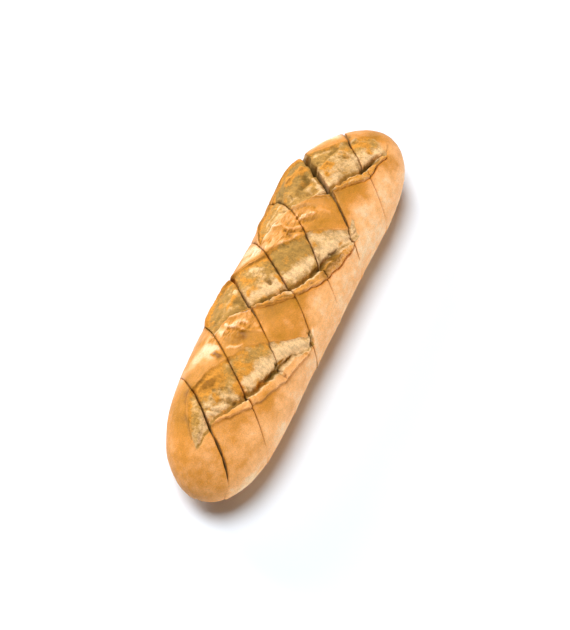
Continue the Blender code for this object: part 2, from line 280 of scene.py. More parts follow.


# The slashes

# upper: the crust's rim on the +Y side; lip: the ear's edge; both (x, around). ear: (x, width).
# rim: (x, height of the crust's rim); face: (x, width of its inner slope); step: (x, its drop);
# browned: (x, how browned that slope is, which also scales its painted shade); valley: (x, how deep
# the gap before the ear, and how much painted shade it holds); below: (x, how baked the crust is beyond
# the ear). fades: how gradually the slash opens at its two ends. earCrust: how far crust covers the ear.
# floor, tone and toast go by segment: the crumb's level, from tan 0 to cream 1, and how browned it is.
slashes = (
    {
        "upper": ((-119, 8), (-112, 13), (-104, 18.5), (-96.5, 22), (-87, 24.5), (-79, 22.5),
                  (-70.5, 18), (-64, 13), (-57, 7.5), (-48, 1), (-42.5, -5), (-37.5, -11.5),
                  (-30.5, -19.5), (-23, -28)),
        "lip": ((-119, 8), (-108, 4), (-99, 0), (-91, -8), (-80, -16.5), (-66, -24), (-54.5, -28.5),
                (-43, -31.5), (-31, -35), (-23, -36.5)),
        "ear": ((-104, 0.3), (-97, 1.8), (-90, 4), (-80, 5.2), (-65, 5.6), (-50, 6), (-42, 5.2),
                (-36, 3.2), (-30, 1.2), (-23, 0.3)),
        "rim": ((-119, 0.1), (-90, 0.4), (-60, 0.3), (-23, 0.4)),
        "face": ((-119, 2), (-100, 3), (-85, 4), (-60, 2.6), (-40, 2), (-23, 2)),
        "step": ((-119, 0.6), (-100, 0.8), (-80, 0.9), (-60, 0.6), (-40, 0.4), (-23, 0.4)),
        "browned": ((-119, 0.7), (-90, 1.0), (-74, 1.0), (-66, 0.6), (-23, 0.4)),
        "valley": ((-119, 0.3), (-100, 0.6), (-80, 0.9), (-60, 1), (-50, 0.75), (-40, 0.4), (-30, 0.1)),
        "below": ((-100, 0.2), (-88, 0.1), (-78, -0.7), (-60, -0.7), (-23, -0.5)),
        "fades": (9, 0.6),
        "earCrust": 0.8,
        "floor": (-0.2, -0.5, 0.2, 0.4, 0, 0, 0, 0),
        "tone": (0.5, 0.25, 0.5, 0.9, 0.5, 0.5, 0.5, 0.5),
        "toast": (0.1, 0.6, 0.45, 0.1, 0, 0, 0, 0),
    },
    {
        "upper": ((-48, 24), (-43, 30.5), (-36, 37.5), (-30, 42), (-21, 46), (-12, 46), (-4, 38.5),
                  (3.5, 30), (10, 23), (18, 17), (29, 8.5), (39.5, -1), (46, -11), (52, -20)),
        "lip": ((-48, 24), (-34, 20), (-28, 13), (-21.5, 5.5), (-15, -1.5), (-5.5, -9.5), (4.5, -17),
                (17.5, -23.5), (31, -27), (42, -28.5), (52, -29)),
        "ear": ((-30, 0.5), (-22, 2), (-12, 4), (0, 4.5), (12, 5.8), (25, 5.6), (36, 4.2), (43, 2),
                (48, 0.6)),
        "rim": ((-46, 0.9), (-38, 1.8), (-28, 2.1), (-12, 2.0), (0, 1.3), (10, 0.8), (52, 0.5)),
        "face": ((-48, 1.4), (-30, 1.5), (-12, 1.6), (2, 2), (14, 2.6), (28, 3), (40, 3.4), (52, 3)),
        "step": ((-48, 0.8), (-30, 0.8), (-12, 0.8), (4, 0.8), (24, 0.8), (52, 0.6)),
        "browned": ((-48, 0.8), (-15, 0.8), (2, 1.3), (12, 1.2), (20, 0.9), (34, 0.7), (52, 0.3)),
        "valley": ((-40, 0.9), (0, 1), (18, 1), (26, 0.75), (34, 0.4), (44, 0.1)),
        "below": ((-30, 0.5), (-20, 0.9), (-5, 0.9), (8, 0.3), (20, -0.3), (52, -0.4)),
        "fades": (3, 0.8),
        "earCrust": 0.45,
        "floor": (0, 0, -1.0, -0.2, 0.3, 0.1, 0, 0),
        "tone": (0.5, 0.5, -0.1, 0.3, 0, 0.9, 0.8, 0.5),
        "toast": (0, 0, 0.25, 0.3, 0.1, 0.1, 0, 0),
    },
    {
        "upper": ((20, 27), (28, 33), (38, 41), (50, 46.5), (62, 49), (74, 49.5), (84, 44.5), (91, 33.5),
                  (99, 22.5), (107, 16.5), (114, 11), (119, 4), (123, -3)),
        "lip": ((20, 27), (34, 25), (44, 22), (50.5, 18), (59.5, 9), (66, 0), (71.5, -3), (81, -10),
                (92.5, -17), (99, -17), (106, -18), (112, -20), (118, -17), (123, -13)),
        "ear": ((64, 0.5), (70, 1.5), (76, 3.5), (88, 5), (98, 3.5), (105, 3.4), (111, 1.2), (116, 0)),
        "rim": ((34, 0.9), (40, 1.8), (53, 1.8), (59, 2.3), (70, 2.3), (82, 2.1), (89, 1.3), (95, 0.9),
                (106, 0.8), (116, 0.2), (123, 0)),
        "face": ((20, 1.4), (45, 1.6), (70, 1.8), (86, 2.6), (100, 3), (110, 4), (123, 4)),
        "step": ((20, 0.8), (40, 0.8), (70, 0.8), (86, 0.8), (95, 1.0), (108, 1.0), (123, 0.6)),
        "browned": ((20, 1.2), (60, 1.3), (84, 1.1), (94, 1.0), (106, 0.7), (123, 0.3)),
        "valley": ((40, 0.8), (70, 1), (95, 1), (104, 1.1), (112, 0.8), (120, 0.2)),
        "below": ((50, 0.6), (66, 0.7), (84, 0.6), (100, 0.5), (112, 0.3)),
        "fades": (3, 8),
        "earCrust": 0.3,
        "floor": (0, 0, 0, 0, -1.6, -2.4, 0, 0.1),
        "tone": (0.5, 0.5, 0.5, 0.5, 0.1, -0.45, 0.35, 0.5),
        "toast": (0, 0, 0, 0, 0.3, 0.2, 0, 0.3),
    },
)

slashShape = {
    "rimFade": 4.0,
    "crown": 0.5,  # how far the crumb swells in the middle
    "sag": 1.0,  # how much the crumb sinks from its rim to its brow
    "wallWidth": 4.2,  # from the crumb's brow down into the valley
    "valleyDepth": 5.0,
    "earFoot": 0.7,
    "earHeight": 1.7,
    "earTilt": 1.0,  # how far the ear's top drops from its edge to its foot
    "earCrest": 0.6,
    "bulge": 0.4,  # the crust beside the ear, with a groove along the ear's edge
    "bulgeFade": 3.5,
    "groove": 1.1,
    "grooveWidth": 0.8,
    "belowFade": 8.0,
    "browWander": 0.7,
    "lipRagged": ((0.4, 4.3, 11), (0.3, 1.9, 21)),
    "rimRagged": ((0.35, 5.1, 31), (0.2, 2.2, 41)),
    "tears": ((0.5, 3.7, 53), (0.3, 1.3, 54)),
    "slant": (0.9, 0.42),  # nearly the cosine and sine of the angle that the slashes lie at
}

# how strongly a slash's parts are toasted, baked and pale, and darkened by painted shade and a painted
# shadow line
slashColour = {
    "faceToast": 0.8,
    "browToast": 0.75,  # the share of a segment's toast that is gone at the crumb's brow
    "earToast": 0.75,
    "tornToast": -1.3,
    "fleckToast": 0.25,
    "wallToast": -0.3,
    "paintedShadowLine": 1.3,  # painted shadow: the brown line in the groove beside the ear
    "lineWidth": 0.9,
    "rimWidth": 1.8,
    "earBake": -0.6,
    "crumbTone": -0.85,  # near the face, and how much paler at the brow
    "browTone": 0.75,
    # painted shade down the crumb's wall
    "wallPaintedShade": -0.5,
    "tornTone": 1.2,
    # painted shade in the valley under the ear and on the face under the rim
    "valleyPaintedShade": 0.55,
    "facePaintedShade": 0.12,
}

lips = [onRows(slash["lip"]) for slash in slashes]
uppers = [onRows(slash["upper"]) for slash in slashes]


def lipLine(n, station):
    # the ear's edge with its small tears
    return curveThrough(lips[n], station) + ragged(slashShape["lipRagged"], station, 0, n)


def upperLine(n, station):
    # the crust's rim
    return curveThrough(uppers[n], station) + ragged(slashShape["rimRagged"], station, 0, n)


def squarely(line, station, around):
    # how much of a step along a row is a step squarely away from the line
    slope = curveThrough(line, station + 0.5) - curveThrough(line, station - 0.5)
    run = placeAlong(station, around + 0.5) - placeAlong(station, around - 0.5)
    return 1 / np.hypot(1 + run * slope, slope)


def slashPlace(n, station, around, segment):
    # how far each place is from the ear's edge and from the rim, and the slash's own sizes there
    slash = slashes[n]
    lip, upper = lipLine(n, station), upperLine(n, station)
    lipX, upperX = placeAlong(station, lip), placeAlong(station, upper)
    s = SimpleNamespace(n=n, station=station, around=around, earCrust=slash["earCrust"])
    s.fromLip = (around - lip) * squarely(lips[n], station, curveThrough(lips[n], station))
    s.fromUpper = (upper - around) * squarely(uppers[n], station, curveThrough(uppers[n], station))
    s.inside = (s.fromUpper > 0) & (s.fromLip > 0)
    s.opened = smoothStep(0, slash["fades"][0], station - lips[n][0, 0])
    s.opened = s.opened * smoothStep(0, slash["fades"][1], lips[n][-1, 0] - station)
    s.ear, s.valley, s.below = [curveThrough(slash[name], lipX) for name in ("ear", "valley", "below")]
    names = ("rim", "face", "step", "browned")
    s.rim, s.face, s.step, s.browned = [curveThrough(slash[name], upperX) for name in names]
    s.floor, s.tone, s.toast = [np.array(slash[name])[segment] for name in ("floor", "tone", "toast")]
    tears = ragged(slashShape["tears"], station, n)
    s.ear = np.maximum(s.ear + tears * np.clip(s.ear / 3, 0, 1), 0)
    s.earThere = np.clip(s.ear / 2, 0, 1)
    s.foot = s.ear + slashShape["earFoot"]
    return s


def slashHeight(s):
    # height over the bare loaf. Outside, the rim and the ear's bulge die away like exp(-distance / fade).
    # Inside: down the face, over the gently swelling crumb to its brow, down its wall and up the ear
    v = slashShape
    rim = s.rim * np.exp(np.minimum(s.fromUpper, 0) / v["rimFade"])
    bulge = v["bulge"] * np.exp(np.minimum(s.fromLip, 0) / v["bulgeFade"])
    bulge = (bulge - v["groove"] * np.exp(-((s.fromLip / v["grooveWidth"]) ** 2))) * s.earThere
    outside = np.where(s.fromUpper < 0, rim, bulge)

    wander = v["browWander"] * noise(s.station / 5, s.around / 5, s.n, 51)
    brow = s.foot + v["wallWidth"] * (0.4 + 0.6 * s.valley) + wander
    width = np.maximum(s.fromLip + s.fromUpper, 1)
    down = smoothStep(0, 1, s.fromUpper / s.face)
    s.floorShare = np.clip((s.fromUpper - s.face) / np.maximum(width - s.face - brow, 2), 0, 1)
    floor = s.floor * smoothStep(0, 0.5, s.floorShare) - s.step
    floor = floor - v["sag"] * s.floorShare ** 2 + v["crown"] * np.sin(math.pi * s.floorShare)
    floor = s.rim + (floor - s.rim) * down
    s.wall = smoothStep(0, 1, (brow - s.fromLip) / (brow - s.foot)) ** 1.5 * down
    bottom = (0.5 * s.floor - v["valleyDepth"]) * s.valley
    floor = floor + (bottom - floor) * s.wall * (0.3 + 0.7 * s.earThere)

    s.climb = 1 - smoothStep(s.ear * 0.88, s.foot, s.fromLip)
    earShare = np.clip(s.fromLip / np.maximum(s.ear, 0.5), 0, 1)
    earTop = (v["earHeight"] - v["earTilt"] * earShare) * s.earThere
    crest = np.clip(1 - s.fromLip / v["earCrest"], 0, 1) * s.earThere
    edge = (v["bulge"] - v["groove"] - v["earHeight"]) * crest
    inner = floor + np.maximum(earTop - floor, 0) * s.climb + edge
    return np.where(s.inside, inner, outside) * s.opened


def slashMarks(s):
    # where the slash's crumb, face, ear and wall are, and how toasted, pale and baked it is, with painted
    # shade in the valley, on the face and down the wall, and a painted shadow line beside the ear
    c = slashColour
    inside, outer = s.inside * s.opened, (1 - s.inside * s.opened) * s.opened
    face = inside * (1 - smoothStep(0.4, 1.1, s.fromUpper / s.face))
    ear = inside * (1 - smoothStep(0.85, 1.05, s.fromLip / (s.foot - 0.3))) * s.earThere
    wall = inside * smoothStep(0.02, 0.4, s.wall) * (1 - ear)
    valley = inside * smoothStep(0.8, 1, s.wall) * (1 - s.climb) * s.valley
    bare = smoothStep(0.6, 0.95, s.fromLip / s.foot)  # the ear's torn inner part
    torn = bare * ear
    crumb = inside * smoothStep(0.1, 0.5, s.fromUpper / s.face) * (1 - s.earCrust * ear * (1 - bare))

    flecks = noise(s.station / 2.1, s.around / 0.9, s.n, 55)
    flecks = flecks + 0.6 * noise(s.station / 1.1, s.around / 0.6, s.n, 56)
    toast = s.toast * (1 - c["browToast"] * smoothStep(0, 0.9, s.floorShare))
    toast = toast + c["faceToast"] * s.browned * face + c["wallToast"] * wall
    toast = toast + ear * (c["earToast"] + c["tornToast"] * torn + c["fleckToast"] * flecks)
    tone = s.tone + c["crumbTone"] + c["browTone"] * smoothStep(0.25, 0.95, s.floorShare)
    # the wall is painted darker downwards, as shade
    tone = tone + c["wallPaintedShade"] * wall * (1 + s.wall) + c["tornTone"] * torn

    beside, beyond = np.maximum(-s.fromLip, 0), np.maximum(-s.fromUpper, 0)
    # a brown line of painted shadow in the groove beside the ear's edge
    line = c["paintedShadowLine"] * np.exp(-((beside / c["lineWidth"]) ** 2)) * s.earThere
    bake = outer * (s.fromLip < 0) * (s.below * np.exp(-beside / slashShape["belowFade"]) + line)
    bake = bake + outer * (s.fromUpper < 0) * s.browned * np.exp(-beyond / c["rimWidth"])
    bake = bake + c["earBake"] * s.earCrust * ear
    # painted shade in the valley under the ear and on the face under the rim
    deep = c["valleyPaintedShade"] * valley + c["facePaintedShade"] * s.browned * face
    return {"crumb": crumb, "toast": inside * toast, "deep": deep, "tone": inside * tone, "bake": bake,
            "face": face, "ear": ear, "wall": wall}


def addSlashes(at, marks):
    # the height of all slashes, with their marks added
    rise = 0
    for n in range(len(slashes)):
        s = slashPlace(n, at.station, at.around, at.segment)
        rise = rise + slashHeight(s)
        for name, values in slashMarks(s).items():
            marks[name] = marks.get(name, 0) + values
    return rise


# The grid of the loaf's skin

gridSizes = {
    "rowStep": 0.9,
    "endRows": (0.2, 0.6, 1.2, 2.0, 3.0, 4.2, 5.6, 7.0),
    "slope": -0.36,  # how the columns run on beyond a slash
    "slashGap": 9.0,  # the least room for a slash, and how it widens beyond the slash
    "widening": 0.35,
    "wideningReach": 20.0,
    "leastBand": 4.0,
    "lipReach": 8.0,
    "lipCrowding": 1.2,
    "lipColumns": 15,
    "floorColumns": 29,
    "bandColumns": 32,
    "leftColumns": 18,
    "underColumns": 14,
    "rightColumns": 27,
    "underFrom": 50.0,
    "underTo": 138.0,
    "underRowSkip": 4,
}


def slitPlan():
    # the rows from end to end: station, slit number, how open its lips are, how deep its walls, segment
    half = loafSizes["halfLength"]
    ends, wall = gridSizes["endRows"], slitShape["wall"]
    plan = [(-half + end, -1, 0, 0, 0) for end in ends]
    edges = [-half + ends[-1]] + [s["x"] for s in slits] + [half - ends[-1]]
    for n, (low, high) in enumerate(zip(edges[:-1], edges[1:])):
        if n > 0:
            plan += [(low, n - 1, -opened, deep, n - 1) for opened, deep in wall]
            plan += [(low, n - 1, 0, 1, n)]
            plan += [(low, n - 1, opened, deep, n) for opened, deep in reversed(wall)]
        count = round((high - low) / gridSizes["rowStep"])
        plan += [(low + (high - low) * k / count, -1, 0, 0, n) for k in range(1, count)]
    plan += [(half - end, -1, 0, 0, len(slits)) for end in reversed(ends)]
    return np.array(plan, float)


def evenShares(name):
    # the columns of one part of the grid as even shares of its width
    return np.linspace(0, 1, gridSizes[name], endpoint=False)


def columnPlaces(station):
    # where every column crosses each row: close together at the ears, further apart underneath
    g = gridSizes
    station = station[:, None]
    starts, stops, parts = [], [], []
    for n in range(3):
        first, last = lips[n][0, 0], lips[n][-1, 0]
        beyond = np.minimum(station - first, 0) + np.maximum(station - last, 0)
        starts.append(lipLine(n, station) + g["slope"] * beyond)
        least = g["slashGap"] + g["widening"] * np.minimum(np.abs(beyond), g["wideningReach"])
        stops.append(np.maximum(upperLine(n, station) + g["slope"] * beyond, starts[n] + least))
    for n in range(2):
        stops[n] = np.minimum(stops[n], starts[n + 1] - g["leastBand"])
    for n in range(3):
        gap = stops[n] - starts[n]
        near = np.minimum(g["lipReach"], 0.5 * gap)
        parts.append(starts[n] + near * evenShares("lipColumns") ** g["lipCrowding"])
        parts.append(starts[n] + near + (gap - near) * evenShares("floorColumns"))
        if n < 2:
            parts.append(stops[n] + (starts[n + 1] - stops[n]) * evenShares("bandColumns"))
    end = starts[0] + girth
    leftEnd = np.maximum(stops[2] + g["leastBand"], g["underFrom"])
    rightStart = np.minimum(end - g["leastBand"], g["underTo"])
    parts.append(stops[2] + (leftEnd - stops[2]) * evenShares("leftColumns"))
    parts.append(leftEnd + (rightStart - leftEnd) * evenShares("underColumns"))
    parts.append(rightStart + (end - rightStart) * evenShares("rightColumns"))
    return np.concatenate(parts, 1)


def skinPlaces():
    # every place of the grid: its row and column, its point on the bare loaf, and how far it lies along
    # and athwart the slashes
    at = SimpleNamespace()
    plan = slitPlan()
    at.station, at.slit, at.opening, at.deep, segment = [plan[:, k:k + 1] for k in range(5)]
    at.segment = segment.astype(int)
    at.around = columnPlaces(plan[:, 0])
    at.signed = np.where(at.around > girth / 2, at.around - girth, at.around)
    at.angle = angleAt(at.around)
    at.x = placeAlong(at.station, at.around)
    at.point = np.moveaxis(bareLoaf(at.x, at.angle), -1, 0)
    at.px, at.py, at.pz = at.point
    cosine, sine = slashShape["slant"]
    at.along = cosine * at.px - sine * at.signed
    at.athwart = sine * at.px + cosine * at.signed
    return at


def skinFaces(rows, columns, thinFrom, thinTo, skip):
    # quads between rows; underneath only every skip-th row is kept, with triangles where the two meet
    index = np.arange(rows * columns).reshape(rows, columns)
    kept = np.unique(np.concatenate([np.arange(0, rows, skip), [rows - 1]]))
    dense = np.concatenate([np.arange(thinTo, columns), np.arange(0, thinFrom + 1)])
    thin = np.arange(thinFrom + 1, thinTo)
    quads = []
    low, high = kept[:-1], kept[1:]
    for lower, upper, across in ((index[:-1], index[1:], dense), (index[low], index[high], thin)):
        left, right = across[:-1], across[1:]
        corners = [lower[:, left], lower[:, right], upper[:, right], upper[:, left]]
        quads.append(np.stack([corner.ravel() for corner in corners], 1))
    row = np.arange(rows - 1)
    section = np.searchsorted(kept, row, side="right") - 1
    triangles = []
    for edge, inner, turned in ((thinFrom, thin[0], False), (thinTo, thin[-1], True)):
        fan = np.stack([index[row, edge], index[low[section], inner], index[row + 1, edge]], 1)
        cap = np.stack([index[high, edge], index[low, inner], index[high, inner]], 1)
        both = np.concatenate([fan, cap])
        triangles.append(both[:, ::-1] if turned else both)
    ring = np.concatenate([np.arange(0, thinFrom + 1), thin, np.arange(thinTo, columns)])
    for tip, where in ((rows * columns, 0), (rows * columns + 1, rows - 1)):
        here, following = index[where, ring], index[where, np.roll(ring, -1)]
        fan = np.stack([here, np.full(len(ring), tip), following], 1)
        triangles.append(fan if where == 0 else fan[:, ::-1])
    return np.concatenate(quads), np.concatenate(triangles)


# Strokes of the brush

def brush(wide, *places, **marks):
    # one stroke along (x, around) places: its half width in mm, and what it adds to the skin
    return {"wide": wide, "places": places, **marks}


# crumb: bared crumb; toast: how browned, and tone: how pale it is, partly painted light on lumps and
# shade on walls. bake: how browned the crust is, partly painted glints and shadow lines; gloss, wrinkle:
# its shine, which also paints a pale sheen, and folds. The last mark is painted shade in hollows, slits
# and valleys
markNames = ("crumb", "toast", "deep", "tone", "bake", "gloss", "wrinkle")

# rise lifts the skin in mm, and the others add to its marks
# Pale strokes on raised ridges and glossy spots paint highlights, and dark and brown strokes in hollows
# paint shade
strokes = (
    # beyond the first slit: pale torn patch with an edge of painted shade, browner crust beside it
    brush(3.2, (-98, 14), (-104, 11), (-111, 7), crumb=0.9, tone=-0.1, toast=-0.4, rise=-0.3),
    brush(0.7, (-99.5, 21), (-104, 18), (-111, 13.5), deep=0.5, rise=-0.5),
    brush(6, (-92, 34), (-84, 27), bake=0.5),
    brush(2.5, (-106, 4), (-112, -2), crumb=0.35, toast=0.2),
    brush(7, (-100, 31), (-104, 26), bake=1.1),
    # first slash, from the first slit to the second
    brush(2.4, (-81.5, 17.5), (-77.5, 13), (-72, 10), toast=0.9, rise=0.3),
    brush(1.5, (-82.5, 8), (-83.5, 4.5), toast=0.7),
    brush(2, (-71.5, -2), (-75.5, -8), toast=0.9, rise=0.5),
    brush(0.9, (-75, 7.5), (-72.5, 6), deep=0.5, rise=-0.6),
    brush(1, (-76, 1), (-77.5, -2), deep=0.5, rise=-0.7),
    brush(0.7, (-80, 10), (-78, 5), deep=0.35, rise=-0.4),
    brush(1.5, (-82, -3), (-82.5, -7), deep=0.55, tone=-0.6, rise=-1.6),
    brush(1.2, (-89.5, 12.5), (-89.5, 5), (-86.5, -1), tone=0.9, toast=-0.6, rise=0.5),
    brush(1, (-94, 8), (-92, 2), tone=0.9, toast=-0.5, rise=0.4),
    brush(0.6, (-92, 10), (-90.5, 1), deep=0.3, rise=-0.6),
    brush(0.6, (-86, 9), (-84, 1), deep=0.3, rise=-0.5),
    brush(1.2, (-77.5, -8.5), (-74.5, -11.5), deep=0.6, rise=-1.2),
    brush(3, (-80, 16), (-72, 12.5), toast=0.4),
    # from the second slit to the third
    brush(2.2, (-69, -7.5), (-60, -10), (-53, -14), (-49, -17.5), tone=0.6, toast=-0.5),
    brush(0.8, (-70.5, -8.5), (-72.5, -12.5), tone=-0.6, rise=-0.4),
    brush(1.2, (-66, -15), (-61, -19), toast=1.1, rise=0.5),
    brush(0.8, (-58.5, -18), (-58, -21), deep=0.5, rise=-0.6),
    brush(1.6, (-60, 2), (-57, -5), toast=0.5),
    brush(1.2, (-48.5, -19), (-50.5, -20.5), deep=0.8, rise=-1.8),
    brush(0.7, (-53.5, -22.5), (-53, -26.5), deep=0.5, rise=-1.2),
    brush(2.5, (-66, -2.5), (-60, -6), toast=0.6, tone=-0.3),
    brush(1.8, (-57.5, -20), (-53.5, -23), tone=-0.6, toast=-0.3, deep=0.25),
    # from the third slit to the fourth
    brush(3, (-43, -16), (-36, -22), (-31, -29), tone=0.4, toast=-0.4),
    brush(0.8, (-48.5, -19.5), (-43.5, -23.5), (-36.5, -27.5), (-31.5, -32.5), toast=1.1, deep=0.35,
          rise=-0.8),
    brush(2, (-50, -25), (-41.5, -29.5), (-35, -31.5), toast=0.1, tone=0.2),
    brush(1.6, (-68, -21.5), (-60, -25), toast=-0.4, tone=0.4),
    brush(1, (-32, -32.5), (-30.5, -35.5), toast=1.3, bake=1.5, deep=0.3),
    brush(1.1, (-20.5, -28.5), (-25, -35), bake=1.6, deep=0.45, rise=-0.7),
    brush(1.2, (-17.5, -29.5), (-21, -31), bake=-0.8, rise=0.5),
    brush(3.5, (-35, -21), (-31, -26), tone=1.1, toast=-0.6),
    # glossy crust beyond the first slash, blistered, with painted glare, then wrinkled towards the second
    # with painted glints on the ridges and painted shade between them
    brush(4, (-62, 29.5), (-57.5, 25), (-59, 18.5), bake=-1, gloss=1),
    brush(2.5, (-54.5, 26), (-53.5, 18), bake=-1, gloss=1),
    brush(1.7, (-57.5, 18), (-59, 14), bake=3, rise=0.5),
    brush(2, (-51, 34.5), (-48, 29), bake=0.7, rise=0.3),
    brush(6, (-75, 38), (-68, 26), gloss=0.8, bake=-0.5),
    brush(9, (-50, 40), (-40, 12), gloss=0.5),
    brush(6, (-48, 24), (-36, 14), (-30, 6), wrinkle=0.9, bake=-0.3),
    brush(3, (-41, 12.5), (-41, 6), bake=0.6, rise=-0.9),
    brush(3, (-47.5, 13), (-43.5, 2), (-40.5, -5.5), bake=0.3),
    brush(1.1, (-37.5, 18.5), (-34.5, 14.5), (-32, 9), (-33, 7), bake=-1.4, rise=0.7),
    brush(1, (-38, 19), (-37.5, 12), (-38, 6.5), (-36.5, 1.5), (-35, -3), bake=-1.3, rise=0.8),
    brush(0.8, (-39.5, 16), (-39.8, 8), bake=0.8, rise=-0.7),
    brush(0.7, (-36, 12), (-34.5, 8), bake=0.8, rise=-0.6),
    brush(1.2, (-45.5, 24.5), (-41, 24.5), (-31.5, 24), (-31.5, 18.5), (-30, 15), (-26, 12),
          (-25, 8.5), bake=-1.2, rise=0.7),
    brush(1.1, (-53, 11), (-50, 7), (-48, 4), bake=-1.6, rise=0.5, gloss=0.6),
    brush(1.2, (-49.5, 18), (-50, 15.5), bake=-1.3, rise=0.3),
    brush(2, (-42, 22), (-45.5, 17), bake=-0.8),
    brush(1.8, (-32.5, 2.5), (-34, -4), bake=-0.6),
    brush(7, (-24, 0), (-14, -10), (-6, -18), bake=0.3),
    brush(3, (-34.5, -9.5), (-33.5, -14), bake=0.5),
    brush(2.5, (-21.5, -11.5), (-24.5, -17), bake=-0.4),
    brush(5, (-47, 8), (-38, 6), bake=1.1),
    brush(4, (-75, 30), (-69, 24), bake=0.9, gloss=-0.5),
    # second slash, from the second slit to the third
    brush(1.6, (-11, 35), (-10.5, 28.5), (-15, 24), tone=0.8, toast=-0.5, rise=0.4),
    brush(2, (-16, 25), (-21.5, 26), (-24.5, 26.5), toast=0.9, rise=0.4),
    brush(1.5, (-14, 31), (-12, 27), tone=1, toast=-0.8, rise=0.4),
    brush(1, (-17.5, 22), (-20, 16.5), deep=0.35, rise=-0.8),
    brush(2, (-20, 23), (-19.5, 19.5), (-22.5, 14), tone=-0.8, deep=0.2, rise=-0.6),
    brush(2.6, (-41, 26.5), (-33, 24.5), (-26, 18.5), (-23, 12.5), tone=-0.8, deep=0.25),
    brush(1.6, (-35.5, 30.5), (-30, 30), tone=-0.5, deep=0.3),
    brush(2.5, (-24, 33), (-20, 30), tone=0.2, toast=0.2),
    # from the third slit to the fourth
    brush(1.7, (2.5, 22.5), (4.5, 16), tone=0.9, toast=-0.6, rise=0.4),
    brush(3, (-1.5, 22), (2, 14), wrinkle=0.8, tone=0.3, toast=-0.3),
    brush(2.5, (-5, 26.5), (-6, 19), tone=-0.3, toast=0.4),
    brush(1.3, (-2, 9), (-2.5, 6), deep=0.6, rise=-1.8),
    brush(0.9, (-4, 5), (0, 3.5), tone=0.8, toast=-0.5, rise=0.4),
    brush(2, (2, 4.5), (0.5, 0), toast=1.1, rise=0.5),
    brush(1.8, (-12.5, 18), (-16, 14), toast=1.1, rise=0.4),
    brush(1.8, (-15, 14), (-9.5, 8.5), (-2.5, 1.5), tone=0.5, toast=-0.4),
    brush(1.8, (6.5, 23.5), (11.5, 18.5), toast=0.6),
    brush(1.3, (-21, 8), (-16.5, 5), (-13, -0.5), tone=1, toast=-1.2, rise=0.3),
    brush(1, (-14.5, 4.5), (-7.5, -0.5), (-3.5, -7), tone=0.6, toast=-0.4),
    brush(0.6, (-16, 2.5), (-11, -3.5), (-4.5, -9.5), deep=0.45, toast=0.8, rise=-0.6),
    brush(1, (-3, -3.5), (-2, -6.5), deep=0.6, rise=-1.2),
    brush(1.8, (-17, 8), (-10, 2), tone=-0.6, deep=0.1),
    brush(1.5, (-6, -6), (-2, -8), tone=1.2, toast=-0.8),
    brush(1.4, (-18, 8), (-10, 0.5), tone=-0.8, deep=0.2),
    brush(1.6, (-14.5, 6), (-13, 5), deep=0.35, tone=-0.5),
    # from the fourth slit to the fifth
    brush(4, (15.5, 8.5), (21.5, 5.5), (27.5, 1), tone=-0.2, toast=-0.4),
    brush(1.6, (29.5, 5), (32, -1), tone=-0.3, toast=0.4),
    brush(0.6, (22.5, 9), (23.5, 7.5), deep=0.5, rise=-0.6),
    brush(1.1, (22.5, -2.5), (22.5, -5.5), toast=0.8),
    brush(2.5, (3, 0), (10.5, -5), (21, -9), tone=1.0, toast=-0.4),
    brush(0.9, (12.5, -6), (10, -10.5), tone=0.7, rise=0.3),
    brush(0.8, (16.5, -8), (14, -12), tone=0.6, rise=0.3),
    brush(0.8, (7, -4), (5, -7.5), tone=0.6, rise=0.3),
    brush(0.8, (6.5, -10), (10.5, -14), (18, -16.5), tone=0.8, toast=-0.9, rise=0.3),
    brush(0.6, (-1.5, -9), (4.5, -14), (13, -19), deep=0.4, toast=0.6, rise=-0.6),
    brush(1.3, (26, -12), (22, -17.5), tone=-0.4, deep=0.25, rise=-1),
    # from the fifth slit to the sixth, and the torn patch beyond it
    brush(2, (37.5, -2), (42.5, -6.5), (50, -18), toast=0.3),
    brush(2.6, (37, -8), (42, -12.5), (47, -19), tone=0.3, toast=-0.5),
    brush(1.2, (31, -18), (35, -21), deep=0.55, rise=-1.2),
    brush(1.6, (24.5, -21), (31, -24), (41, -27), toast=0.5),
    brush(1.3, (57.5, -21), (55, -22), (51, -26), crumb=1, tone=0.7, toast=-0.6),
    brush(0.6, (58.5, -20), (57.5, -22), bake=1, deep=0.3, rise=-0.4),
    brush(2.5, (15, -20), (22, -20), (32, -23), toast=0.6, deep=0.2),
    brush(2, (18, -19), (26, -21), (33, -23), toast=0.7, tone=-0.6, deep=0.25),
    # glossy wrinkled crust between the second and third slashes, with painted glints on the ridges and
    # painted shade in the folds
    brush(3.5, (17, 36), (17, 23.5), (9, 31.5), bake=-0.9, gloss=1),
    brush(9, (25, 30), (42, 20), (62, 2), gloss=0.6),
    brush(4, (47, 21.5), (38.5, 27), (24.5, 28), bake=-0.9),
    brush(6, (38, 24), (43, 14), (48, 5), wrinkle=0.8, bake=-0.1),
    brush(6, (17, 26), (24, 20), (32, 10), wrinkle=1.0, bake=-0.3),
    brush(1.1, (35.5, 23.5), (37.5, 18), (34.5, 12.5), (39.5, 6.5), bake=-1.4, rise=0.9),
    brush(0.8, (33, 21.5), (34, 16.5), (32, 11), (37.5, 4.5), bake=1.3, rise=-0.7),
    brush(1.5, (18.5, 20), (20, 16.5), (26, 11), (31.5, 6.5), bake=-1.5, rise=0.6, gloss=0.5),
    brush(0.9, (16.5, 17), (27.5, 9), (36.5, 0), bake=0.4),
    brush(1.1, (53, 21.5), (54, 12.5), (58, 9), bake=-1.3, rise=0.7),
    brush(1.8, (49.5, 16.5), (54, 10), (54.5, 4.5), bake=0.9, rise=-0.4),
    brush(1, (45.5, 11.5), (48, 7.5), (51.5, 2.5), bake=-1.3, rise=0.7),
    brush(0.9, (43, 9.5), (47.5, 5), bake=-1.2, rise=0.6),
    brush(0.9, (54, 4.5), (55, -0.5), (55, -6), bake=-0.9, rise=0.4),
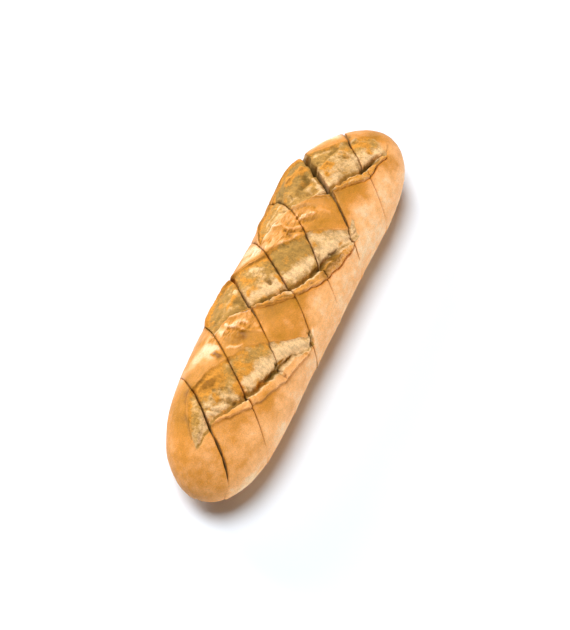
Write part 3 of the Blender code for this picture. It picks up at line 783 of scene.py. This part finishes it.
    brush(1.8, (43.5, 5.5), (48.5, 0), bake=0.8, rise=-0.4),
    brush(3, (41, 1), (49, -5), (53, -15), bake=0.5),
    brush(4, (34.5, 26), (30, 28), bake=-0.8),
    brush(4, (36, 27), (29, 28), bake=-0.9, gloss=0.4),
    # third slash, up to the sixth slit
    brush(0.8, (39, 34.5), (47, 33), (54.5, 32), toast=-0.9, tone=0.9, rise=0.5),
    brush(1.4, (34.5, 30), (40, 27.5), (45, 25.5), tone=-0.7, deep=0.2, rise=-0.4),
    brush(1.3, (51, 27), (48.5, 23), deep=0.7, rise=-1.2),
    brush(1, (67.5, 44.5), (61, 36), deep=0.4, rise=-1.2),
    brush(3, (72, 34), (78, 31), (81.5, 26), toast=1.3, tone=-0.4, rise=0.9, deep=0.1),
    brush(1.8, (76.5, 23), (73, 18), (69, 20.5), deep=0.8, rise=-2.2),
    brush(1.2, (65, 22), (62, 19), deep=0.6, rise=-1.2),
    brush(2, (62, 29), (59, 23), tone=0.6, toast=-0.5),
    brush(0.7, (61.5, 27), (59.5, 24), deep=0.7, rise=-0.6),
    brush(3, (66, 15), (70, 9), (70, 4), tone=0.4, toast=-0.6, rise=1.4),
    brush(1.5, (77, 17.5), (74.5, 11.5), (70.5, 6.5), tone=1.0, rise=1.2),
    brush(0.9, (52.5, 20.5), (56.5, 16.5), (61.5, 12), (66, 7), (70, 3.5), tone=1, toast=-0.9,
          rise=1.2),
    brush(0.7, (52, 19), (56.5, 12.5), (62.5, 6.5), (66.5, -2), tone=0.9, rise=0.8),
    brush(0.6, (57, 15), (63, 8.5), (68, 1.5), deep=0.4, rise=-0.8),
    # from the sixth slit to the seventh
    brush(1.2, (92, 23), (98, 18.5), (104, 14.5), tone=0.5, toast=-0.3),
    brush(0.8, (86, 17), (91, 13.5), (98, 13.5), (104, 14.5), deep=0.4, tone=-0.5, rise=-1.1),
    brush(2, (94.5, 11), (100, 8), (100.5, 2), tone=0.5, rise=0.4),
    brush(0.7, (102, 13), (101.5, 7), (99.5, 1.5), tone=0.4, rise=0.6),
    brush(0.6, (100.5, 12), (99.8, 6.5), deep=0.2, rise=-0.5),
    brush(0.7, (95, 6.5), (99, 0.5), (97.5, -5.5), deep=0.25, rise=-0.6),
    brush(1.8, (84.5, 11.5), (89.5, 11), (88.5, 8), toast=1.2, rise=0.4),
    brush(1.2, (81.5, 7.5), (79, 4), toast=0.9),
    brush(0.6, (76, -4), (84, -8.5), (93, -13), toast=0.8, deep=0.35, rise=-0.5),
    brush(3, (84, -2.5), (92, -7), toast=-0.4, tone=-0.4, deep=0.1),
    # beyond the seventh slit
    brush(0.7, (119.5, 32), (117, 20), (114.5, 12.5), bake=1, deep=0.5, rise=-0.7),
    brush(1, (111, 10), (115, 9), (114.5, 4.5), tone=0.9, toast=-0.6, rise=0.7),
    brush(0.6, (111, 7), (113, 5), deep=0.6, rise=-0.8),
    brush(4, (108, 5), (113.5, 1.5), (110.5, -5.5), toast=0.7),
    brush(2.6, (102, -9.5), (109, -13), (116.5, -15.5), toast=-0.6, tone=0.5),
    brush(0.7, (120.5, -18), (112.5, -18.5), deep=0.5, rise=-0.8),
    brush(1.7, (95.5, -11.5), (101, -13), (105.5, -16), deep=0.7, rise=-2.2),
    # paler and browner crust under the ears and down the -Y side
    brush(7, (-95, -22), (-86, -27), bake=-0.9),
    brush(6, (-4, -21), (3, -18.5), bake=-0.9),
    brush(8, (62, -12), (78, -14), bake=0.5),
    brush(6, (-22, -16), (-12, -22), bake=-0.25),
    brush(12, (86, -24), (60, -40), bake=-0.2),
    # the crust around the last slash, with painted glare, and over the end
    brush(5, (104.5, 34.5), (113, 35), (114.5, 26.5), bake=-1.6, gloss=1),
    brush(3, (121, 16.5), (121.5, 4.5), bake=-0.5, gloss=0.5),
    brush(3.5, (80, -12), (77.5, -20), bake=0.6),
    brush(5, (109, -20), (103, -29), bake=0.6),
    brush(6, (124, 4), (121, -14), (112, -30), bake=0.8),
    brush(4, (64.5, -19.5), (66.5, -27.5), bake=-0.4),
    brush(5, (98, -14), (108, -24), bake=0.3),
    brush(9, (104, -8), (112, -22), bake=-0.5),
)


def strokeShare(stroke, x, around):
    # 1 on the stroke's line, falling off like exp(-(distance / half width)^2)
    nearest = np.full(x.shape, 1e9)
    for (ax, ay), (bx, by) in zip(stroke["places"][:-1], stroke["places"][1:]):
        share = ((x - ax) * (bx - ax) + (around - ay) * (by - ay)) / ((bx - ax) ** 2 + (by - ay) ** 2)
        share = np.clip(share, 0, 1)
        away = (x - ax - share * (bx - ax)) ** 2 + (around - ay - share * (by - ay)) ** 2
        nearest = np.minimum(nearest, away)
    return np.exp(-nearest / stroke["wide"] ** 2)


def wobble(at, seed):
    # a stray of up to about 1 mm
    return 0.8 * noise(*at.point / 3, seed) + 0.4 * noise(*at.point / 1.2, seed + 1)


def addStrokes(at, marks):
    # the height of all strokes, with their marks added. Their lines wobble, and fine ones are broken up
    x, around = at.x + wobble(at, 64), at.signed + wobble(at, 66)
    broken = np.clip(0.9 + grain("strokes", at.along / 2, at.athwart, at.pz), 0.1, 1.5)
    rise = 0
    for stroke in strokes:
        share = strokeShare(stroke, x, around)
        if stroke["wide"] < skinShape["breakBelow"]:
            share = share * broken
        rise = rise + stroke.get("rise", 0) * share
        for name in markNames:
            marks[name] = marks.get(name, 0) + stroke.get(name, 0) * share
    return rise


# Roughness, and the whole skin

# kinds of roughness: (strength, size in mm, layers, seed). The strength is in mm where it lifts the skin
skinGrain = {
    "lumps": (1.0, 4.6, 3, 71),
    "crumbToast": (0.5, 4.5, 2, 68),
    "crumbTone": (0.2, 3.2, 2, 69),
    "crumbWall": (0.35, 1.3, 2, 74),
    "ear": (0.45, 1.9, 2, 75),
    "face": (0.25, 2.4, 3, 78),
    "crust": (0.14, 9, 3, 81),
    "fine": (0.07, 2.6, 2, 84),
    "folds": (1.6, 3.6, 2, 87),
    "bands": (0.12, 3.4, 2, 93),
    "strokes": (0.9, 2.2, 2, 97),
    "slitWall": (0.18, 1.6, 2, 91),
}

skinShape = {
    "lumpHeight": 0.42,  # mm, of the crumb's lumps, and how much paler their tops are painted, as painted light, with darker hollows as painted shade
    "lumpPaintedLight": 0.25,
    "foldHeight": 0.5,  # the same for the crust's wrinkles: crests painted paler as highlights, hollows browner as shade
    "foldPaintedLight": -1.5,
    "foldLevel": 0.55,
    "breakBelow": 1.7,  # strokes with a smaller half width than this are broken up
    "leastMark": -2.6,
    "mostMark": 2.2,
    "bake": 0.1,
    # how much less baked the lower -Y side is and from where to where, in (from, to) around and along X
    "paleSide": -1.2,
    "paleFrom": (-20, -42),
    "paleTo": (-92, -62),
    "paleSlant": 0.12,
    "paleEnds": (135, 118),
    "farEnd": -0.3,
    "farEndFrom": (-95, -115),
}


def grain(name, x, y, z):
    # one kind of roughness: its strength times fractal noise
    strength, size, layers, seed = skinGrain[name]
    return strength * fractal(x, y, z, size, layers, seed)


def addGrain(at, marks):
    # the height of the roughness that each kind of skin has. The crumb's lumps and the crests of the
    # crust's folds, which lie along the lines where the noise is 0, are painted paler too, as painted
    # light, and their hollows darker, as painted shade
    v = skinShape
    crust = 1 - np.clip(marks["crumb"], 0, 1)
    at.openCrumb = (1 - crust) * (1 - np.clip(marks["ear"], 0, 1))
    lumps = at.openCrumb * grain("lumps", *at.point)
    folds = v["foldLevel"] - np.abs(grain("folds", at.along / 2.6, at.athwart, at.pz))
    folds = folds * np.clip(marks["wrinkle"], 0, 1.2)
    marks["toast"] = marks["toast"] + at.openCrumb * grain("crumbToast", *at.point)
    # painted light and shade that follow the lumps and the folds
    marks["tone"] = marks["tone"] + at.openCrumb * grain("crumbTone", *at.point) + v["lumpPaintedLight"] * lumps
    marks["bake"] = marks["bake"] + v["foldPaintedLight"] * folds
    rise = v["lumpHeight"] * lumps + v["foldHeight"] * folds
    rise = rise + marks["wall"] * grain("crumbWall", at.along, at.athwart / 3.5, at.pz / 3)
    rise = rise + marks["ear"] * grain("ear", at.along / 3, at.athwart, at.pz)
    rise = rise + marks["face"] * grain("face", *at.point)
    rise = rise + crust * grain("crust", *at.point) + grain("fine", *at.point)
    upperSide = smoothStep(-18, 0, at.signed)
    return rise + crust * upperSide * grain("bands", at.along / 2, at.athwart, at.pz)


def raisedPoints(at, shift, rise):
    # the bare loaf at the shifted places, plus rise times the outward normal, which is the cross product
    # of short steps lengthways and sideways
    step, turn, half = 0.2, 0.01, loafSizes["halfLength"]
    x = np.clip(at.x + shift, -half, half)
    lengthways = bareLoaf(np.clip(x + step, -half, half), at.angle)
    lengthways = lengthways - bareLoaf(np.clip(x - step, -half, half), at.angle)
    sideways = bareLoaf(x, at.angle + turn) - bareLoaf(x, at.angle - turn)
    outward = np.cross(lengthways, sideways)
    outward = outward / np.linalg.norm(outward, axis=-1, keepdims=True)
    return bareLoaf(x, at.angle) + outward * rise[..., None]


def loafSkin():
    # the skin's points and marks: the bare loaf raised by the slashes, strokes and roughness, then slit
    v, marks = skinShape, {}
    at = skinPlaces()
    rise = addSlashes(at, marks) + addStrokes(at, marks)
    for name in marks:
        marks[name] = np.clip(marks[name], v["leastMark"], v["mostMark"])
    shift, bottom, nearest = slitPull(at)
    rise = rise + addGrain(at, marks) + slitEdges(at, nearest)
    points = raisedPoints(at, shift, rise)
    cutSlits(at, points, bottom, marks)

    # browner along the slits, paler low on the -Y side and over the far end
    pale = smoothStep(*v["paleFrom"], at.signed - v["paleSlant"] * (at.px + 60))
    pale = pale * smoothStep(*v["paleTo"], at.signed) * smoothStep(*v["paleEnds"], np.abs(at.px))
    bake = v["bake"] + v["paleSide"] * pale + v["farEnd"] * smoothStep(*v["farEndFrom"], at.px)
    bake = bake + slitShape["slitBake"] * np.exp(-nearest / slitShape["slitBakeReach"])
    marks["bake"] = marks["bake"] + bake
    return points, marks


def meshObject(name, points, faceSets, marks, material):
    # points in mm; faceSets are arrays of equal-length faces; unused points are left out
    used = np.zeros(len(points), bool)
    for faces in faceSets:
        used[faces.ravel()] = True
    renumbered = np.cumsum(used) - 1
    data = bpy.data.meshes.new(name)
    corners = np.concatenate([renumbered[faces].ravel() for faces in faceSets])
    sizes = np.concatenate([np.full(len(faces), faces.shape[1]) for faces in faceSets])
    data.vertices.add(int(used.sum()))
    data.vertices.foreach_set("co", (points[used] * 0.001).astype(np.float32).ravel())
    data.loops.add(len(corners))
    data.loops.foreach_set("vertex_index", corners.astype(np.int32))
    data.polygons.add(len(sizes))
    data.polygons.foreach_set("loop_start", (np.cumsum(sizes) - sizes).astype(np.int32))
    data.update(calc_edges=True)
    data.validate()
    for markName, values in marks.items():
        layer = data.attributes.new(markName, "FLOAT", "POINT")
        layer.data.foreach_set("value", values[used].astype(np.float32))
    data.shade_smooth()
    data.materials.append(material)
    piece = bpy.data.objects.new(name, data)
    bpy.context.scene.collection.objects.link(piece)
    return piece


# The baked skin's finish

skinColours = {
    # the palest crust, which the glint strokes also use as painted highlight
    "crustCream": (0.97, 0.72, 0.44),
    "crustPale": (0.93, 0.45, 0.165),
    "crustOrange": (0.67, 0.265, 0.042),
    "crustGolden": (0.50, 0.20, 0.016),
    "crustBrown": (0.25, 0.09, 0.007),
    # a painted pale sheen laid over glossy crust
    "crustPaintedSheen": (0.90, 0.66, 0.42),
    "crumbOlive": (0.34, 0.187, 0.040),
    "crumbTan": (0.47, 0.245, 0.054),
    "crumbCream": (0.86, 0.555, 0.27),
    "crumbToast": (0.66, 0.27, 0.032),
    "crumbBrown": (0.30, 0.115, 0.008),
    # painted shade: the colour that hollows, slits and valleys are darkened towards
    "deep": (0.12, 0.065, 0.005),
    "warmShine": (1.0, 0.82, 0.55),
    "whiteShine": (1.0, 0.96, 0.88),
}

# noise in the skin: (size in mm, layers, roughness, how it is squashed along, athwart and up)
skinTextures = {
    "mottle": (12, 3, 0.55, (1, 1, 1)),
    "patch": (4.2, 4, 0.6, (1, 1, 1)),
    "speckle": (1.5, 3, 0.7, (1, 1, 1)),
    "grain": (0.65, 2, 0.6, (1, 1, 1)),
    "pore": (2.0, 1, 0.5, (1, 1, 1)),
    "crease": (1.5, 2, 0.5, (0.25, 1, 1)),
    "fibre": (1.7, 2, 0.6, (1, 0.3, 0.3)),
}

# what each part of the finish is made of: a start, and how strongly each texture or mark tells in it
skinFinish = {
    "coarse": {"start": 0.4, "crumb": 0.6, "wrinkle": 0.5},
    "browning": {"start": 0, "bake": 1, "mottle": 2.2, "patch": 1.3, "specks": 0.6, "creases": -4},
    "tone": {"start": 0, "tone": 1, "patch": 1.2, "specks": 1.0},
    "toast": {"start": 0.028, "toast": 1, "patch": -1.4, "specks": 0.9},
    "bareness": {"start": 0, "crumb": 1, "speckle": 0.8},
    "shade": {"start": 1, "specks": 0.6, "grain": 0.75, "pores": -0.14, "fibres": 0.8, "crease": 0.2},
    "roughness": {"start": 0.5, "crumb": 0.3, "speckle": 0.4, "gloss": -0.22},
    "height": {"start": 0, "specks": 0.45, "grain": 0.14, "creases": 1.8, "fibres": 0.5},
}

# from where to where each change in the finish takes place
skinRanges = {
    "crust": (-2, 2),
    "crumb": (-1.3, 0.55),
    "toasted": (0.1, 0.9),
    "browned": (0.9, 1.9),
    "bare": (0.3, 0.75),
    "pore": (0.12, 0.22),
    "glossy": (0.5, 1.1),
    "lightlyBaked": (0.3, -0.5),
    "whiteShine": (0.3, 1.1),
}

skinSurface = {
    "leastShade": 0.2,
    "leastRoughness": 0.22,
    # how strongly the painted sheen pales glossy crust
    "paintedSheen": 0.35,
    "specular": 0.35,
    "bumpDistance": 0.001,
}


class Nodes:
    # a short way to add and join shader nodes
    def __init__(self, material):
        material.use_nodes = True
        self.tree = material.node_tree
        self.shader = self.tree.nodes["Principled BSDF"]

    def add(self, kind, **values):
        node = self.tree.nodes.new(kind)
        for name, value in values.items():
            setattr(node, name, value)
        return node

    def put(self, socket, value):
        # joins another node's output to the socket, or sets its number or colour
        if isinstance(value, bpy.types.NodeSocket):
            self.tree.links.new(value, socket)
        elif isinstance(value, tuple) and len(socket.default_value) == 4:
            socket.default_value = (*value, 1)
        else:
            socket.default_value = value

    def mark(self, name):
        # a mark stored on the mesh
        return self.add("ShaderNodeAttribute", attribute_name=name).outputs["Fac"]

    def maths(self, operation, a, b=0.0):
        node = self.add("ShaderNodeMath", operation=operation)
        self.put(node.inputs[0], a)
        self.put(node.inputs[1], b)
        return node.outputs[0]

    def total(self, values, strengths):
        # the start plus each named value times its strength
        total = strengths["start"]
        for name, strength in strengths.items():
            if name != "start":
                total = self.maths("ADD", total, self.maths("MULTIPLY", values[name], strength))
        return total

    def texture(self, size, layers, roughness, squash):
        # noise about 0 in object coordinates, turned to lie along the slashes
        turned = self.add("ShaderNodeMapping", vector_type="POINT")
        self.put(turned.inputs["Vector"], self.add("ShaderNodeTexCoord").outputs["Object"])
        self.put(turned.inputs["Rotation"], (0, 0, math.radians(25)))
        self.put(turned.inputs["Scale"], squash)
        node = self.add("ShaderNodeTexNoise")
        self.put(node.inputs["Vector"], turned.outputs["Vector"])
        self.put(node.inputs["Scale"], 1000 / size)
        self.put(node.inputs["Detail"], layers)
        self.put(node.inputs["Roughness"], roughness)
        return self.maths("SUBTRACT", node.outputs["Fac"], 0.5)

    def spread(self, value, fromTo, smooth="SMOOTHSTEP"):
        # from 0 to 1 as value goes from the first number to the second
        node = self.add("ShaderNodeMapRange", interpolation_type=smooth)
        self.put(node.inputs["Value"], value)
        self.put(node.inputs["From Min"], fromTo[0])
        self.put(node.inputs["From Max"], fromTo[1])
        return node.outputs["Result"]

    def ramp(self, value, fromTo, colours):
        # evenly spaced colours as value goes from the first number to the second
        node = self.add("ShaderNodeValToRGB")
        self.put(node.inputs["Fac"], self.spread(value, fromTo, "LINEAR"))
        elements = node.color_ramp.elements
        while len(elements) < len(colours):
            elements.new(0.5)
        for k, colour in enumerate(colours):
            elements[k].position = k / (len(colours) - 1)
            elements[k].color = (*colour, 1)
        return node.outputs["Color"]

    def mix(self, share, a, b):
        # a where the share is 0, b where it is 1
        node = self.add("ShaderNodeMix", data_type="RGBA")
        self.put(node.inputs["Factor"], share)
        self.put(node.inputs[6], a)
        self.put(node.inputs[7], b)
        return node.outputs[2]


def bakedSkin():
    # one material for crust and crumb, which the marks on the mesh tell apart
    c, finish, ranges, surface = skinColours, skinFinish, skinRanges, skinSurface
    material = bpy.data.materials.new("bakedSkin")
    n = Nodes(material)
    values = {name: n.mark(name) for name in markNames}
    for name, texture in skinTextures.items():
        values[name] = n.texture(*texture)
    # specks are coarser on the crumb and the wrinkles, and creases lie in the wrinkles alone
    values["specks"] = n.maths("MULTIPLY", values["speckle"], n.total(values, finish["coarse"]))
    values["creases"] = n.maths("MULTIPLY", values["wrinkle"], values["crease"])

    # crust: the bake mark and soft mottling pick a colour from cream to brown, with a painted sheen where
    # it is glossy
    browning = n.total(values, finish["browning"])
    crusts = [c["crust" + name] for name in ("Cream", "Pale", "Orange", "Golden", "Brown")]
    crust = n.ramp(browning, ranges["crust"], crusts)
    lightlyBaked = n.spread(browning, ranges["lightlyBaked"])
    paintedSheen = n.maths("MULTIPLY", n.spread(values["gloss"], ranges["glossy"]), lightlyBaked)
    crust = n.mix(n.maths("MULTIPLY", paintedSheen, surface["paintedSheen"]), crust, c["crustPaintedSheen"])
    # crumb: olive through tan to cream by the tone mark and patches, browned where the toast mark is high
    tone, toast = n.total(values, finish["tone"]), n.total(values, finish["toast"])
    crumb = n.ramp(tone, ranges["crumb"], (c["crumbOlive"], c["crumbTan"], c["crumbCream"]))
    crumb = n.mix(n.spread(toast, ranges["toasted"]), crumb, c["crumbToast"])
    crumb = n.mix(n.spread(toast, ranges["browned"]), crumb, c["crumbBrown"])
    bareness = n.spread(n.total(values, finish["bareness"]), ranges["bare"])
    colour = n.mix(bareness, crust, crumb)

    # small dark pores and fibres in the crumb, and fine light and dark speckle everywhere
    values["pores"] = n.maths("MULTIPLY", n.spread(values["pore"], ranges["pore"]), bareness)
    values["fibres"] = n.maths("MULTIPLY", bareness, values["fibre"])
    shaded = n.add("ShaderNodeVectorMath", operation="SCALE")
    n.put(shaded.inputs[0], colour)
    shade = n.maths("MAXIMUM", n.total(values, finish["shade"]), surface["leastShade"])
    n.put(shaded.inputs["Scale"], shade)
    # painted shade: the depth and shade mark darkens hollows, slits and valleys towards the shade colour
    n.put(n.shader.inputs["Base Color"], n.mix(values["deep"], shaded.outputs[0], c["deep"]))

    roughness = n.maths("MAXIMUM", n.total(values, finish["roughness"]), surface["leastRoughness"])
    n.put(n.shader.inputs["Roughness"], roughness)
    n.put(n.shader.inputs["Specular IOR Level"], surface["specular"])
    shine = n.mix(n.spread(values["gloss"], ranges["whiteShine"]), c["warmShine"], c["whiteShine"])
    n.put(n.shader.inputs["Specular Tint"], shine)
    # fine grain all over, rougher on the crumb, and long creases in the wrinkled crust
    bump = n.add("ShaderNodeBump")
    n.put(bump.inputs["Distance"], surface["bumpDistance"])
    n.put(bump.inputs["Strength"], 1.0)
    n.put(bump.inputs["Height"], n.total(values, finish["height"]))
    n.put(n.shader.inputs["Normal"], bump.outputs["Normal"])
    return material


def bakedLoaf():
    # the whole piece: the skin, closed by one point at each tip, with its marks and its finish
    points, marks = loafSkin()
    rows, columns = points.shape[:2]
    print("skin worked out:", rows, "rows of", columns, "places")
    g = gridSizes
    thinFrom = 3 * (g["lipColumns"] + g["floorColumns"]) + 2 * g["bandColumns"] + g["leftColumns"]
    thinTo = thinFrom + g["underColumns"]
    quads, triangles = skinFaces(rows, columns, thinFrom, thinTo, g["underRowSkip"])
    half, widest = loafSizes["halfLength"], loafSizes["widestZ"]
    ends = np.array([(side * half, evenCurve(loafSizes["bows"], side), widest) for side in (-1.0, 1.0)])
    allPoints = np.concatenate([points.reshape(-1, 3), ends])
    layers = {name: np.concatenate([marks[name].ravel(), [0, 0]]) for name in markNames}
    piece = meshObject("bakedLoaf", allPoints, (quads, triangles), layers, bakedSkin())
    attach(piece, "root")
    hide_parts("baguette")
    print("loaf:", 2 * len(quads) + len(triangles), "triangles")


bakedLoaf()


# Camera, light and floor

pictureSetup = {
    "azimuth": -65.83,
    "elevation": 60.0,
    "lens": 150.0,
    "distance": 1.5506,
    "target": (0.0, 0.0, 0.022),
    "aside": 0.00195,  # camera moved in its own plane to frame the loaf as in the photograph
    "down": 0.00597,
    "key": {"aside": -0.22, "ahead": 0.18, "rise": 1.0, "softness": 36, "strength": 3.4},
    "side": {"aside": -0.6, "ahead": 0.76, "rise": 0.34, "softness": 22, "strength": 2.0},
    "fill": {"aside": 0.93, "ahead": -0.3, "rise": 0.03, "softness": 20, "strength": 2.3},
    "skyStrength": 0.03,
    "floorColour": (0.84, 0.905, 0.98),
    "floorRoughness": 0.9,
    "floorReach": 3.0,
}


def cameraAxes(azimuth, elevation):
    # the picture's right and up, and the way back to the camera, from its angles in degrees
    a, e = math.radians(azimuth), math.radians(elevation)
    back = Vector((math.sin(a) * math.cos(e), -math.cos(a) * math.cos(e), math.sin(e)))
    right = Vector((math.cos(a), math.sin(a), 0))
    return right, back.cross(right), back


def placeCamera(p):
    # back from the target by the distance, then moved a little in the picture's own plane
    right, up, back = cameraAxes(p["azimuth"], p["elevation"])
    data = bpy.data.cameras.new("camera")
    data.lens = p["lens"]
    data.sensor_width = 36
    data.clip_start = 0.01
    camera = bpy.data.objects.new("camera", data)
    camera.location = Vector(p["target"]) + back * p["distance"] + right * p["aside"] - up * p["down"]
    camera.rotation_euler = back.to_track_quat("Z", "Y").to_euler()
    bpy.context.scene.collection.objects.link(camera)
    bpy.context.scene.camera = camera


def softSun(name, p):
    # a broad distant light from a direction given along the picture's right, into it and upwards
    right, up, back = cameraAxes(pictureSetup["azimuth"], 0)
    direction = right * p["aside"] - back * p["ahead"] + Vector((0, 0, p["rise"]))
    data = bpy.data.lights.new(name, "SUN")
    data.energy = p["strength"]
    data.angle = math.radians(p["softness"])
    light = bpy.data.objects.new(name, data)
    light.rotation_euler = direction.to_track_quat("Z", "Y").to_euler()
    bpy.context.scene.collection.objects.link(light)


def lightStudio(p):
    # three broad suns and a faint white sky
    softSun("keyLight", p["key"])
    softSun("sideLight", p["side"])
    softSun("fillLight", p["fill"])
    world = bpy.data.worlds.new("studioSky")
    bpy.context.scene.world = world
    world.use_nodes = True
    sky = world.node_tree.nodes["Background"]
    sky.inputs["Color"].default_value = (1, 1, 1, 1)
    sky.inputs["Strength"].default_value = p["skyStrength"]
    bpy.context.scene.view_settings.view_transform = "Standard"


def paleFloor(p):
    # one large square at z = 0
    side = p["floorReach"]
    data = bpy.data.meshes.new("paleFloor")
    corners = [(-side, -side, 0), (side, -side, 0), (side, side, 0), (-side, side, 0)]
    data.from_pydata(corners, [], [(0, 1, 2, 3)])
    material = bpy.data.materials.new("paleFloor")
    n = Nodes(material)
    n.put(n.shader.inputs["Base Color"], p["floorColour"])
    n.put(n.shader.inputs["Roughness"], p["floorRoughness"])
    data.materials.append(material)
    floor = bpy.data.objects.new("paleFloor", data)
    bpy.context.scene.collection.objects.link(floor)


placeCamera(pictureSetup)
lightStudio(pictureSetup)
paleFloor(pictureSetup)
print("studio set up")
